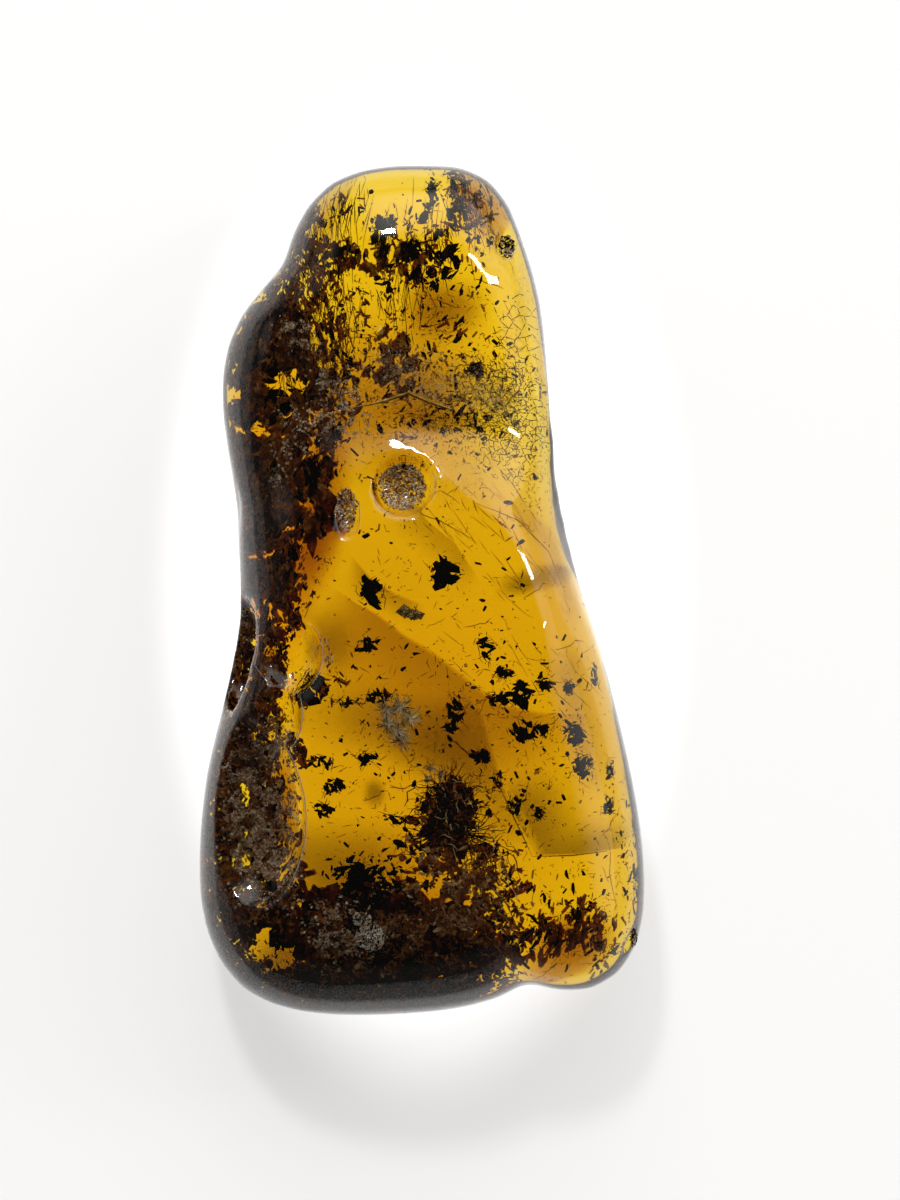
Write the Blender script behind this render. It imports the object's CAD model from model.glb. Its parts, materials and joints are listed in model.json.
# %% [markdown]
# # A nugget of raw amber
#
# Raw amber is fossil tree resin. This nugget was tumbled and polished, so it is as clear as glass,
# and what fell into the resin while it ran shows inside it: bark, wood dust, moss and gas bubbles.
# The lesson makes the clear body first, then what is sealed in it, and last the light, because
# amber is seen by the light that comes through it.
#
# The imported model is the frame: it gives every piece its real place and size, in metres.

import json
import math
import random

import bmesh
import bpy
import numpy as np
from mathutils import Matrix, Vector, noise
from mathutils.bvhtree import BVHTree

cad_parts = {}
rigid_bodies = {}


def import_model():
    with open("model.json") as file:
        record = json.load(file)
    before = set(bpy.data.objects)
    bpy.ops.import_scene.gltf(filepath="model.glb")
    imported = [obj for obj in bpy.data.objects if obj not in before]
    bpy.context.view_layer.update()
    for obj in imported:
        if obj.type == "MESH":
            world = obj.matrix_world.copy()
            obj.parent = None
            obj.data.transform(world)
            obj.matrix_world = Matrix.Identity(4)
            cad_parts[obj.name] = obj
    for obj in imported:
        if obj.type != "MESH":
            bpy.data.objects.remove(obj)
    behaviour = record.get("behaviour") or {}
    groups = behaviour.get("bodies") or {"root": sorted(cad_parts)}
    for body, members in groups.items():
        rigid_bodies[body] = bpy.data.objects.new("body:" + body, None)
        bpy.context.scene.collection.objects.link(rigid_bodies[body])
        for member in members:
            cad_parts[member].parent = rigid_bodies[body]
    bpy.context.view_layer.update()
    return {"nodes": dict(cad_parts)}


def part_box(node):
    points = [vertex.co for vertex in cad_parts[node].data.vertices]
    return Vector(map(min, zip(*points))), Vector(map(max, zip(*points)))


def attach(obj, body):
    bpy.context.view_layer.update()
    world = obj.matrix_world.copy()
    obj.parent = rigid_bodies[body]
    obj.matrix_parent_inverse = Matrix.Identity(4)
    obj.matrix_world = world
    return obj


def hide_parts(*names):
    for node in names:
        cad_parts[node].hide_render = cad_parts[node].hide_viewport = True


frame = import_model()
MM = 0.001

# %% [markdown]
# A few helpers serve every piece. A colour is written as the hex value that a paint chart gives and
# turned to linear light here. A shader node is added with its settings and its links in one call.

# %% Helpers for colours and shader nodes
def srgb(hex_colour, alpha=1.0):
    """A hex colour as linear light."""
    parts = [int(hex_colour[i:i + 2], 16) / 255 for i in (1, 3, 5)]
    linear = [c / 12.92 if c <= 0.04045 else ((c + 0.055) / 1.055) ** 2.4 for c in parts]
    return (*linear, alpha)


def add_node(tree, kind, values=None, links=None, **settings):
    """Adds a node with its settings, its socket values and its links."""
    node = tree.nodes.new(kind)
    for name, value in settings.items():
        setattr(node, name, value)
    for socket, value in (values or {}).items():
        node.inputs[socket].default_value = value
    for socket, output in (links or {}).items():
        tree.links.new(output, node.inputs[socket])
    return node


def new_material(name):
    """An empty node material and its output node."""
    material = bpy.data.materials.new(name)
    material.use_nodes = True
    material.node_tree.nodes.clear()
    return material, add_node(material.node_tree, "ShaderNodeOutputMaterial")


# %% [markdown]
# Each single shape is built in a bmesh. Two more helpers turn a finished bmesh into an object, and give
# it its finish. All the pieces ride on the one body, because nothing on a nugget moves.

# %% Helpers for pieces
def piece_from(name, bm):
    """A linked object made of a finished bmesh."""
    piece = bpy.data.objects.new(name, bpy.data.meshes.new(name))
    bm.to_mesh(piece.data)
    bm.free()
    bpy.context.scene.collection.objects.link(piece)
    return piece


def dress(piece, material):
    """Gives a piece its material and its slot, and lets it ride on the nugget's body."""
    piece.data.materials.clear()
    piece.data.materials.append(material)
    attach(piece, "root")


# %% [markdown]
# The clear body starts as the two CAD halves. The flat faces where they part, and the pockets that
# open from them, are taken away, so only the outside is left, and the narrow gap is bridged.

# %% Take the outside of the two halves
def joined_to(vert):
    """All the vertices that edges join to this one."""
    found = {vert}
    waiting = [vert]
    while waiting:
        for edge in waiting.pop().link_edges:
            for other in edge.verts:
                if other not in found:
                    found.add(other)
                    waiting.append(other)
    return found


def outside_of(front, back):
    """The outer skin of the two halves as one closed bmesh."""
    bm = bmesh.new()
    for node in (front, back):
        bm.from_mesh(frame["nodes"][node].data)
    bmesh.ops.remove_doubles(bm, verts=bm.verts, dist=1e-6)
    for level in (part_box(front)[0].z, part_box(back)[1].z):
        parted = [f for f in bm.faces if all(abs(v.co.z - level) < 2e-6 for v in f.verts)]
        bmesh.ops.delete(bm, geom=parted, context="FACES")
    by_height = sorted(bm.verts, key=lambda v: v.co.z)
    keep = joined_to(by_height[0]) | joined_to(by_height[-1])
    bmesh.ops.delete(bm, geom=[v for v in bm.verts if v not in keep], context="VERTS")
    bmesh.ops.bridge_loops(bm, edges=[e for e in bm.edges if e.is_boundary])
    bmesh.ops.recalc_face_normals(bm, faces=bm.faces)
    return bm


nugget = piece_from("amber_nugget", outside_of("amber_front", "amber_back"))
print("skin:", len(nugget.data.polygons), "faces")

# %% [markdown]
# The CAD facets are smoothed away. A voxel remesh gives an even skin, a Smooth modifier rounds it,
# the pits and scooped ledges are cut again with smooth balls, and a finer remesh gives each rim
# the slight rounding that tumbling leaves.

# %% Helpers that finish a mesh with modifiers
def settle(piece):
    """Makes the piece's modifiers part of its mesh."""
    graph = bpy.context.evaluated_depsgraph_get()
    made = bpy.data.meshes.new_from_object(piece.evaluated_get(graph))
    piece.modifiers.clear()
    old = piece.data
    piece.data = made
    bpy.data.meshes.remove(old)
    made.name = piece.name


def modify(piece, kind, **settings):
    """Adds one modifier and makes it part of the mesh."""
    modifier = piece.modifiers.new(kind.lower(), kind)
    for name, value in settings.items():
        setattr(modifier, name, value)
    settle(piece)


def shade_smooth(piece):
    """Shades all the faces as one curved surface."""
    piece.data.polygons.foreach_set("use_smooth", [True] * len(piece.data.polygons))


COARSE_VOXEL = 0.42 * MM
modify(nugget, "REMESH", mode="VOXEL", voxel_size=COARSE_VOXEL)
modify(nugget, "SMOOTH", factor=0.5, iterations=24)
print("smoothed:", len(nugget.data.polygons), "faces")

# %% Cut the pits and ledges again
# [x, y, half width, half length, depth, turn in degrees], in millimetres on the face
PITS = [
    (-1.4, 7.9, 2.05, 2.05, 1.0, 0), (-5.6, 5.9, 0.85, 1.7, 0.6, 4), (6.4, 26.2, 0.75, 1.1, 0.5, -15),
    (-14.0, -4.8, 2.1, 3.9, 1.2, 4), (-9.9, -5.0, 2.1, 2.5, 1.0, -12), (-10.9, -9.6, 1.7, 2.7, 1.0, -8),
    (-13.6, -16.6, 4.3, 6.4, 1.3, 6), (15.9, -26.7, 0.5, 1.0, 0.3, -25),
]


def search_tree(mesh):
    """A search tree of a mesh, for rays."""
    bm = bmesh.new()
    bm.from_mesh(mesh)
    tree = BVHTree.FromBMesh(bm)
    bm.free()
    return tree


def face_height(tree, x, y):
    """Height of the face, in millimetres, at a place given in millimetres."""
    hit = tree.ray_cast(Vector((x * MM, y * MM, 0.1)), Vector((0, 0, -1)))[0]
    return hit.z / MM if hit else None


def cut_pits(piece):
    """Sinks each pit's ball into the face."""
    tree = search_tree(piece.data)
    rim_share = math.sqrt(0.75)  # a ball sunk by half its radius is this wide at the face
    for x, y, half_width, half_length, depth, turn in PITS:
        bm = bmesh.new()
        bmesh.ops.create_icosphere(bm, subdivisions=5, radius=1)
        sizes = Vector((half_width / rim_share, half_length / rim_share, 2 * depth)) * MM
        place = Vector((x, y, face_height(tree, x, y) + depth)) * MM
        matrix = Matrix.LocRotScale(place, Matrix.Rotation(math.radians(turn), 3, "Z"), sizes)
        bmesh.ops.transform(bm, matrix=matrix, verts=bm.verts)
        ball = bpy.data.objects.new("pit_cutter", bpy.data.meshes.new("pit_cutter"))
        bm.to_mesh(ball.data)
        bm.free()
        modify(piece, "BOOLEAN", operation="DIFFERENCE", object=ball, solver="MANIFOLD")
        bpy.data.objects.remove(ball)


FINE_VOXEL = 0.27 * MM
cut_pits(nugget)
modify(nugget, "REMESH", mode="VOXEL", voxel_size=FINE_VOXEL)
modify(nugget, "SMOOTH", factor=0.5, iterations=3)
shade_smooth(nugget)
print("nugget:", len(nugget.data.polygons), "faces")

# %% [markdown]
# Amber is a resin with a refractive index of 1.54, like ordinary glass. Its yellow comes from
# inside: blue light is gone after some millimetres, and green fades slowly. Volume Absorption
# says that in one colour and one density, and the polished skin needs no colour of its own.

# %% Amber
def amber():
    """Polished fossil resin: clear, warm yellow where thin and orange where thick."""
    material, output = new_material("polished_amber")
    tree = material.node_tree
    surface = add_node(tree, "ShaderNodeBsdfPrincipled", values={
        "Base Color": (1, 1, 1, 1), "Roughness": 0.03, "IOR": 1.54, "Transmission Weight": 1.0})
    volume = add_node(tree, "ShaderNodeVolumeAbsorption", values={
        "Color": (0.928, 0.84, 0.02, 1), "Density": 500.0})
    tree.links.new(surface.outputs[0], output.inputs["Surface"])
    tree.links.new(volume.outputs[0], output.inputs["Volume"])
    return material


dress(nugget, amber())
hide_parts("amber_front", "amber_back")
print("clear body:", nugget.data.materials[0].name)

# %% [markdown]
# What is sealed inside is mostly small and there is a great deal of it. One flake, crumb or fibre is
# modelled with bmesh, in a few versions so that no two neighbours look alike, and numpy then lays
# turned and sized copies of it down in one joined mesh. Places are read off the photograph as pixels
# and turned to millimetres on the nugget, and a ray to the skin keeps each one inside the amber.

# %% Places inside the nugget
PIXEL = 65.0 / 854  # millimetres: the nugget is 65 mm long and takes 854 rows of the photograph
NUGGET_MIDDLE = (422, 590)  # the pixel at the middle of its outline
RIM_HEIGHT = 5.2  # millimetres, where the nugget is widest
rng = np.random.default_rng(65)
skin = search_tree(nugget.data)


def spot(column, row):
    """A pixel of the photograph as millimetres on the nugget."""
    return (column - NUGGET_MIDDLE[0]) * PIXEL, (NUGGET_MIDDLE[1] - row) * PIXEL


def pixel_of(x, y):
    """The pixel of a place given in millimetres: the other way round."""
    return NUGGET_MIDDLE[0] + x / PIXEL, NUGGET_MIDDLE[1] - y / PIXEL


def clustered(count, blobs):
    """Random spots round blobs, each [column, row, spread across, spread down, weight]."""
    table = np.array(blobs, dtype=float)
    picks = rng.choice(len(table), count, p=table[:, 4] / table[:, 4].sum())
    columns = rng.normal(table[picks, 0], table[picks, 2])
    rows = rng.normal(table[picks, 1], table[picks, 3])
    return [spot(*pair) for pair in zip(columns, rows)]


def back_height(x, y):
    """Height of the back, in millimetres, at a place given in millimetres."""
    hit = skin.ray_cast(Vector((x * MM, y * MM, -0.1)), Vector((0, 0, 1)))[0]
    return hit.z / MM if hit else None


def sink(spots, low=0.1, high=0.95, margin=0.4):
    """Gives spots a random height, from low to high of the thickness, well inside the skin."""
    places = []
    for x, y in spots:
        top = face_height(skin, x, y)
        if top is None:
            continue
        bottom = back_height(x, y)
        z = bottom + rng.uniform(low, high) * (top - bottom)
        z = min(z, top - margin)
        if skin.find_nearest(Vector((x, y, z)) * MM)[3] >= 0.9 * margin * MM:
            places.append((x, y, z))
    return np.array(places)


print("thickness at the middle:", round(face_height(skin, 0, 0) - back_height(0, 0), 1), "mm")

# %% [markdown]
# The debris isn't solid: golden windows are left open in it, some as large as a flake of bark and
# many as fine as a pinhole. A window is an oval whose edge two noises make ragged, and the heaps and
# dark zones leave it open. Elsewhere the flakes lie in clumps, where a slow noise is high.

# %% Clear windows and clumps
# [column, row, half width, half height] in pixels
WINDOWS = [(291, 683, 11, 30), (368, 342, 17, 15), (372, 395, 11, 14), (250, 362, 12, 12),
    (234, 390, 8, 16), (285, 384, 19, 15), (268, 433, 18, 11), (251, 527, 15, 7), (260, 558, 11, 20),
    (318, 345, 6, 6), (324, 562, 14, 24), (272, 934, 22, 16), (290, 945, 24, 14), (372, 977, 14, 9),
    (247, 792, 5, 12), (308, 906, 12, 5), (483, 818, 12, 18), (470, 950, 12, 8), (425, 990, 10, 6),
    (232, 862, 4, 8)]
SPECK_FROM = 0.46  # where a fine noise is above this, there is a small window too


def ragged_edge(x, y):
    """How far out the edge of a window lies here: 1.45 on average, and it wanders."""
    slow = noise.noise(Vector((x, y, 7)) * 1.8)
    fine = noise.noise(Vector((x, y, 9)) * 4.5)
    return 1.45 + 1.4 * slow + 0.9 * fine


def in_window(x, y):
    """Whether a place, in millimetres, is in a clear window."""
    if noise.noise(Vector((1.6 * x, y, 3)) * 1.1) > SPECK_FROM:
        return True
    column, row = pixel_of(x, y)
    edge = ragged_edge(x, y)
    return any(((column - c) / w) ** 2 + ((row - r) / h) ** 2 < edge for c, r, w, h in WINDOWS)


def clumped(spots, size, threshold):
    """Keeps the spots where a slow noise is high, for clumps, and those in no clear window."""
    return [(x, y) for x, y in spots
            if noise.noise(Vector((x / size, y / size, 0))) > threshold and not in_window(x, y)]


print("windows:", len(WINDOWS))


# %% [markdown]
# Places are chosen in two more ways: all through one CAD lump, or close under the face.

# %% Fill a solid, or lie close under the face
def fill(node, count, clump=1.0, threshold=-2.0, crowding=1.0, margin=0.3):
    """Random places inside a CAD node, in millimetres: in clumps, and crowded under its top face."""
    tree = search_tree(frame["nodes"][node].data)
    low, high = (np.array(corner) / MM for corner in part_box(node))
    places = []
    while len(places) < count:
        x, y = rng.uniform(low[:2], high[:2])
        share = rng.uniform(0, 1) ** crowding
        if noise.noise(Vector((x / clump, y / clump, 0))) < threshold or in_window(x, y):
            continue
        top = tree.ray_cast(Vector((x, y, 100)) * MM, Vector((0, 0, -1)))[0]
        if top is None:
            continue
        bottom = tree.ray_cast(Vector((x, y, -100)) * MM, Vector((0, 0, 1)))[0]
        point = top.lerp(bottom, share)
        if skin.find_nearest(point)[3] > margin * MM:
            places.append(point / MM)
    return np.array(places)


def lay_under(spots, nearest, farthest, margin=0.0):
    """Gives spots a random depth below the face, in millimetres, and keeps a margin to the skin."""
    places = []
    for x, y in spots:
        top = face_height(skin, x, y)
        if top is None:
            continue
        z = top - rng.uniform(nearest, farthest)
        if skin.find_nearest(Vector((x, y, z)) * MM)[3] >= margin * MM:
            places.append((x, y, z))
    return np.array(places)


# %% [markdown]
# Each small shape is made once, in a few versions: a torn flake with six corners, a crumb, a straight
# splinter and a crooked fibre. None has more than a few dozen faces, because there are thousands of
# each. A hair is a fibre that is thicker for its length and more crooked.

# %% One flake, one crumb, one fibre
def template(make, versions):
    """Vertices and triangles of a few versions of one small shape."""
    made = []
    for version in range(versions):
        bm = bmesh.new()
        make(bm, random.Random(version))
        bmesh.ops.recalc_face_normals(bm, faces=bm.faces)
        bmesh.ops.triangulate(bm, faces=bm.faces)
        bm.verts.index_update()
        corners = np.array([v.co for v in bm.verts])
        faces = np.array([[v.index for v in f.verts] for f in bm.faces])
        made.append((corners, faces))
        bm.free()
    return made


def make_flake(bm, draw):
    """A torn plate, one unit across and one unit thick."""
    bmesh.ops.create_circle(bm, cap_ends=True, segments=6, radius=0.5)
    for vert in bm.verts:
        vert.co *= draw.uniform(0.4, 1.3)
    raised = bmesh.ops.extrude_face_region(bm, geom=bm.faces[:])["geom"]
    tops = [v for v in raised if isinstance(v, bmesh.types.BMVert)]
    bmesh.ops.translate(bm, verts=tops, vec=(draw.uniform(-0.1, 0.1), 0, 1))
    bmesh.ops.translate(bm, verts=bm.verts, vec=(0, 0, -0.5))


def make_crumb(bm, draw):
    """A crumb with uneven corners, one unit across."""
    bmesh.ops.create_icosphere(bm, subdivisions=1, radius=0.5)
    for vert in bm.verts:
        vert.co *= draw.uniform(0.65, 1.2)


def make_sliver(bm, draw):
    """A straight three-sided splinter, one unit long and one unit thick, thin at both ends."""
    lying = Matrix.Translation((-0.25, 0, 0)) @ Matrix.Rotation(math.radians(90), 4, "Y")
    bmesh.ops.create_cone(bm, cap_ends=True, segments=3, radius1=0.2, radius2=0.5, depth=0.5, matrix=lying)
    end = max(bm.faces, key=lambda face: face.calc_center_median().x)
    tip = bmesh.ops.extrude_discrete_faces(bm, faces=[end])["faces"][0]
    for vert in tip.verts:
        vert.co *= Vector((1, 0.3, 0.3))
    bmesh.ops.translate(bm, verts=tip.verts, vec=(draw.uniform(0.4, 0.6), draw.uniform(-0.6, 0.6), 0))


def make_fibre(bm, draw, cuts=4, thickness=0.035, wander=0.05):
    """A crooked three-sided fibre, one unit long, thin at both ends."""
    bmesh.ops.create_cone(bm, cap_ends=True, segments=3, radius1=thickness / 2, radius2=thickness / 2,
                          depth=1, matrix=Matrix.Rotation(math.radians(90), 4, "Y"))
    sides = [e for e in bm.edges if abs(e.verts[0].co.x - e.verts[1].co.x) > 0.5]
    bmesh.ops.subdivide_edges(bm, edges=sides, cuts=cuts)
    bends = [(draw.uniform(-wander, wander), draw.uniform(-wander, wander)) for station in range(cuts + 2)]
    for vert in bm.verts:
        station = round((vert.co.x + 0.5) * (cuts + 1))
        if station in (0, cuts + 1):
            vert.co *= Vector((1, 0.4, 0.4))
        vert.co += Vector((0, *bends[station]))


def make_hair(bm, draw):
    """A thicker, more crooked fibre."""
    make_fibre(bm, draw, cuts=3, thickness=0.055, wander=0.12)


FLAKES = template(make_flake, 10)
CRUMBS = template(make_crumb, 6)
SLIVERS = template(make_sliver, 4)
FIBRES = template(make_fibre, 10)
HAIRS = template(make_hair, 10)
for title, shapes in (("flake", FLAKES), ("crumb", CRUMBS), ("sliver", SLIVERS), ("fibre", FIBRES)):
    print(title + ":", len(shapes[0][1]), "triangles")

# %% [markdown]
# A mesh of many copies is quickest made from arrays: every copy's corners are the small shape's, sized,
# turned and moved, and its triangles are the same with a shifted count. One random pick says which
# version it is, and one which material it wears.


# %% Lay down many copies as one mesh
def turns(count, lean=math.pi, heading=0.0, sway=math.pi):
    """Turning matrices: within sway of a heading in degrees, and tipped out of level by up to lean."""
    around = math.radians(heading) + rng.uniform(-sway, sway, count)
    tips = rng.uniform(-lean, lean, (2, count))
    made = np.empty((count, 3, 3))
    for i in range(count):
        turn = Matrix.Rotation(around[i], 3, "Z") @ Matrix.Rotation(tips[0, i], 3, "X")
        made[i] = turn @ Matrix.Rotation(tips[1, i], 3, "Y")
    return made


def lay_down(name, versions, places, matrices, sizes, materials):
    """One mesh of many copies, each of one of the materials: places and sizes in millimetres."""
    corners = []
    faces = []
    start = 0
    kinds = rng.integers(0, len(versions), len(places))
    looks = rng.integers(0, len(materials), len(places))
    for place, matrix, size, kind in zip(places, matrices, sizes, kinds):
        shape, triangles = versions[kind]
        corners.append((shape * size) @ matrix.T + place)
        faces.append(triangles + start)
        start += len(shape)
    mesh = bpy.data.meshes.new(name)
    mesh.from_pydata((np.concatenate(corners) * MM).tolist(), [], np.concatenate(faces).tolist())
    for material in materials:
        mesh.materials.append(material)
    mesh.polygons.foreach_set("material_index", np.repeat(looks, [len(part) for part in faces]).tolist())
    piece = bpy.data.objects.new(name, mesh)
    bpy.context.scene.collection.objects.link(piece)
    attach(piece, "root")
    print(name + ":", len(places), "copies,", len(mesh.polygons), "faces")
    return piece


def strew(name, shapes, places, lengths, width, thickness, materials, slot, poke=0.0, **turning):
    """Lays copies at the places: lengths from a shortest to a longest, with few long ones.

    A copy near the skin is kept short, so that it pokes out of it by no more than is said."""
    count = len(places)
    longs = lengths[0] + rng.uniform(0, 1, count) ** 1.8 * (lengths[1] - lengths[0])
    rooms = np.array([skin.find_nearest(Vector(place) * MM)[3] for place in places]) / MM
    longs = np.minimum(longs, 1.9 * (rooms + poke))
    if width == 0:  # a fibre's thickness goes with its length
        sizes = np.stack([longs] * 3, axis=1)
    elif shapes is SLIVERS:
        sizes = np.stack([longs, np.full(count, width), np.full(count, thickness)], axis=1)
    else:
        sizes = np.stack([longs, longs * width * rng.uniform(0.6, 1.4, count), longs * thickness], axis=1)
    return lay_down(name, shapes, places, turns(count, **turning), sizes, materials)


def lay_along(name, shapes, ends, thickness, materials):
    """Lays one copy along each pair of ends, in millimetres; a hair is as thick as its length asks."""
    starts, stops = np.array(ends).transpose(1, 0, 2)
    lengths = np.linalg.norm(stops - starts, axis=1)
    matrices = [np.array(Vector(step).to_track_quat("X", "Z").to_matrix()) for step in stops - starts]
    across = lengths if shapes is HAIRS else np.full(len(lengths), thickness)
    return lay_down(name, shapes, (starts + stops) / 2, matrices, np.stack([lengths, across, across], axis=1),
                    materials)


# %% [markdown]
# The debris is old wood, bark and moss, baked dark. Dead wood is matt and never one colour: the
# colour of each material wanders between three shades over a millimetre or so, and a finer
# noise roughens the surface. Soaked with resin, a thin flake of wood also lets some light through,
# which gives the debris its red-brown glow against the light.

# %% Materials of the debris
def debris_material(name, dark, middle, pale, patch=0.6, pale_from=0.62, soaked=0.0):
    """Matt plant matter whose colour wanders over patches of a size given in millimetres."""
    material, output = new_material(name)
    tree = material.node_tree
    place = add_node(tree, "ShaderNodeTexCoord")
    wander = add_node(tree, "ShaderNodeTexNoise", links={"Vector": place.outputs["Object"]},
                      values={"Scale": 1 / (patch * MM), "Detail": 5.0, "Roughness": 0.7})
    ramp = add_node(tree, "ShaderNodeValToRGB", links={"Fac": wander.outputs["Fac"]})
    ramp.color_ramp.elements[0].position = 0.35
    ramp.color_ramp.elements[0].color = srgb(dark)
    ramp.color_ramp.elements[1].position = pale_from + 0.12
    ramp.color_ramp.elements[1].color = srgb(pale)
    ramp.color_ramp.elements.new(pale_from - 0.08).color = srgb(middle)
    grain = add_node(tree, "ShaderNodeTexNoise", links={"Vector": place.outputs["Object"]},
                     values={"Scale": 1 / (0.08 * MM), "Detail": 3.0})
    bump = add_node(tree, "ShaderNodeBump", links={"Height": grain.outputs["Fac"]},
                    values={"Strength": 0.6, "Distance": 0.05 * MM})
    surface = add_node(tree, "ShaderNodeBsdfPrincipled", values={
        "Roughness": 0.85, "IOR": 1.1, "Transmission Weight": soaked},
                       links={"Base Color": ramp.outputs["Color"], "Normal": bump.outputs["Normal"]})
    tree.links.new(surface.outputs[0], output.inputs["Surface"])
    return material


WOOD = debris_material("dark_wood_dust", "#4a2410", "#ac6a2c", "#f8cc90", patch=1.2, pale_from=0.58,
                       soaked=0.45)
CRUST = debris_material("granular_crust", "#5c3c20", "#cc9c68", "#fff0dc", patch=0.6, pale_from=0.54,
                        soaked=0.2)
PEAT = debris_material("peaty_bed", "#260c04", "#7c3412", "#d88840", patch=1.4, pale_from=0.66, soaked=0.4)
BARK = debris_material("black_bark", "#050302", "#110a06", "#38240f", patch=0.5, pale_from=0.7)
RUST = debris_material("red_brown_dust", "#561f0c", "#b8661e", "#f8ac40", patch=1.0, pale_from=0.6,
                       soaked=0.45)
MOSS = debris_material("grey_moss", "#5a5248", "#a89e90", "#efe9dc", patch=0.3, pale_from=0.58)
FROTH = debris_material("weathered_froth", "#96785a", "#e8d2b4", "#fffaf2", patch=0.7, pale_from=0.52)
DEBRIS = (WOOD, CRUST, PEAT, BARK, RUST, MOSS, FROTH)
print("debris materials:", len(DEBRIS))

# %% [markdown]
# Each mass of debris is a heap of torn flakes that keeps to the form of its CAD lump.
# They lie in clumps, so light comes through between them, as it does in the real one, and more of
# them lie near the top of the lump, where they are seen.

# %% Heap up the masses
# [node, flakes, lengths, width, clump size, threshold, materials, slot]
MASSES = [
    ("debris_mass_left", 1600, (0.4, 2.4), 0.45, 1.8, -0.16, (WOOD, RUST, WOOD, BARK), "wood_debris"),
    ("debris_crust_left", 1100, (0.3, 1.3), 0.7, 1.4, -0.25, (CRUST, CRUST, FROTH, WOOD, RUST),
     "debris_crust"),
    ("debris_bed_base", 2200, (0.4, 2.6), 0.5, 2.0, -0.2, (PEAT, BARK, PEAT, RUST), "peat_bed"),
    ("debris_band_top", 120, (0.3, 1.5), 0.4, 0.8, 0.05, (RUST, WOOD, CRUST), "wood_debris"),
    ("debris_band_neck", 240, (0.3, 1.4), 0.4, 1.0, 0.04, (WOOD, RUST, CRUST), "wood_debris"),
    ("dark_mound", 480, (0.3, 1.4), 0.4, 0.7, -0.12, (BARK, BARK, PEAT), "peat_bed"),
    ("brown_block", 210, (0.2, 1.2), 0.4, 0.9, 0.0, (WOOD, RUST, WOOD), "wood_debris"),
]
for node, count, lengths, width, clump, threshold, materials, slot in MASSES:
    places = fill(node, count, clump, threshold, crowding=2.2, margin=0.6)
    heap = strew(node + "_heap", FLAKES, places, lengths, width, 0.22, materials, slot,
                 heading=85, sway=0.7, lean=1.0)
    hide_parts(node)

# %% [markdown]
# The two grey crumbs are solid enough to keep their form. Each CAD chip is remeshed finely and its
# skin is pushed in and out by a fractal noise, which wears it as decay does.


# %% Wear down the grey crumbs
def ragged(node, material, voxel, rough, grain, shrink=0.4):
    """Stands for a CAD node: the same form, remeshed and torn by noise of a size in millimetres."""
    bm = bmesh.new()
    bm.from_mesh(frame["nodes"][node].data)
    bmesh.ops.remove_doubles(bm, verts=bm.verts, dist=1e-6)
    piece = piece_from(node + "_ragged", bm)
    modify(piece, "REMESH", mode="VOXEL", voxel_size=voxel * MM)
    for vert in piece.data.vertices:
        wear = noise.fractal(vert.co / (grain * MM), 0.7, 2.1, 4)
        vert.co += vert.normal * (wear - shrink) * rough * MM
    dress(piece, material)
    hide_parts(node)
    return len(piece.data.polygons)


for node in ("leaf_crumb", "grey_crumb"):
    print(node, ragged(node, MOSS, 0.1, 0.45, 0.35, shrink=0.7), "faces")

# %% [markdown]
# Moss grows in little stars, and the mound above the bed bristles with spines. Both are splinters laid
# along rays from a few hearts. The rays stay near level, so that they show from the front.


# %% Stars of moss and spines of the mound
def starburst(hearts, rays, reach, height=None, below=0.35):
    """Rays from each heart, as pairs of ends in millimetres, at a height or so far below the face."""
    found = []
    for heart in hearts:
        x, y = spot(*heart)
        start = np.array((x, y, height or face_height(skin, x, y) - below))
        for _ in range(rays):
            angle = rng.uniform(0, 2 * math.pi)
            out = rng.uniform(*reach)
            ray = (out * math.cos(angle), out * math.sin(angle), rng.uniform(-0.3, 0.15))
            found.append((start, start + ray))
    return found


# Hearts of the moss tuft's stars, in pixels
STARS = [(402, 704), (390, 721), (411, 716), (404, 738), (388, 708), (399, 727)]
low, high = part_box("moss_tuft")
rays = starburst(STARS, 34, (0.3, 1.1), height=(0.1 * low.z + 0.9 * high.z) / MM)
tuft = lay_along("moss_tuft_stars", SLIVERS, rays, 0.13, (FROTH, MOSS, BARK))
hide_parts("moss_tuft")
tips = starburst(STARS, 30, (0.2, 0.85), below=0.28)
lay_along("moss_tips", SLIVERS, tips, 0.12, (FROTH, FROTH, MOSS))
MOUND_TOP = [(432, 764), (441, 770), (427, 775)]
lay_along("mound_top", SLIVERS, starburst(MOUND_TOP, 22, (0.2, 0.7)), 0.1, (MOSS, CRUST))
SPINY = [(448, 786), (439, 806), (459, 804), (450, 822), (436, 830), (466, 828)]
spines = starburst(SPINY, 44, (0.8, 2.4), below=1.3)
lay_along("mound_spines", SLIVERS, spines, 0.12, (BARK, BARK, PEAT))

# %% [markdown]
# A scrap of bark is a stack of torn plates nearly level in its CAD chip, with smaller shreds,
# splinters and hairs round its edge. That breaks up the chip's plain outline.

# %% Tear the scraps into shards
scraps = sorted(node for node in frame["nodes"] if node.startswith("bark_scrap"))
middles = []
for node in scraps:
    low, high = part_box(node)
    reach = (high - low) / 2
    across = 2 * min(reach.x, reach.y) / MM
    count = 12 + round(5 * max(reach.x, reach.y) / MM)
    places = fill(node, count, margin=0.1)
    lengths = across * rng.uniform(0.4, 1.0, count)
    sizes = np.stack([lengths, lengths * rng.uniform(0.25, 0.6, count), np.full(count, 0.1 * across)], axis=1)
    torn = lay_down(node + "_torn", FLAKES, places, turns(count, lean=0.45), sizes, (BARK,))
    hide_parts(node)
    for _ in range(14 + round(5 * (reach.x + reach.y) / MM)):
        angle = rng.uniform(0, 2 * math.pi)
        out = rng.normal(0.95, 0.25)
        middle = (low + high) / 2 + Vector((math.cos(angle) * reach.x, math.sin(angle) * reach.y, 0)) * out
        middles.append(middle / MM + Vector((0, 0, rng.uniform(-0.3, 0.3))))
middles = np.array(middles)
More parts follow.
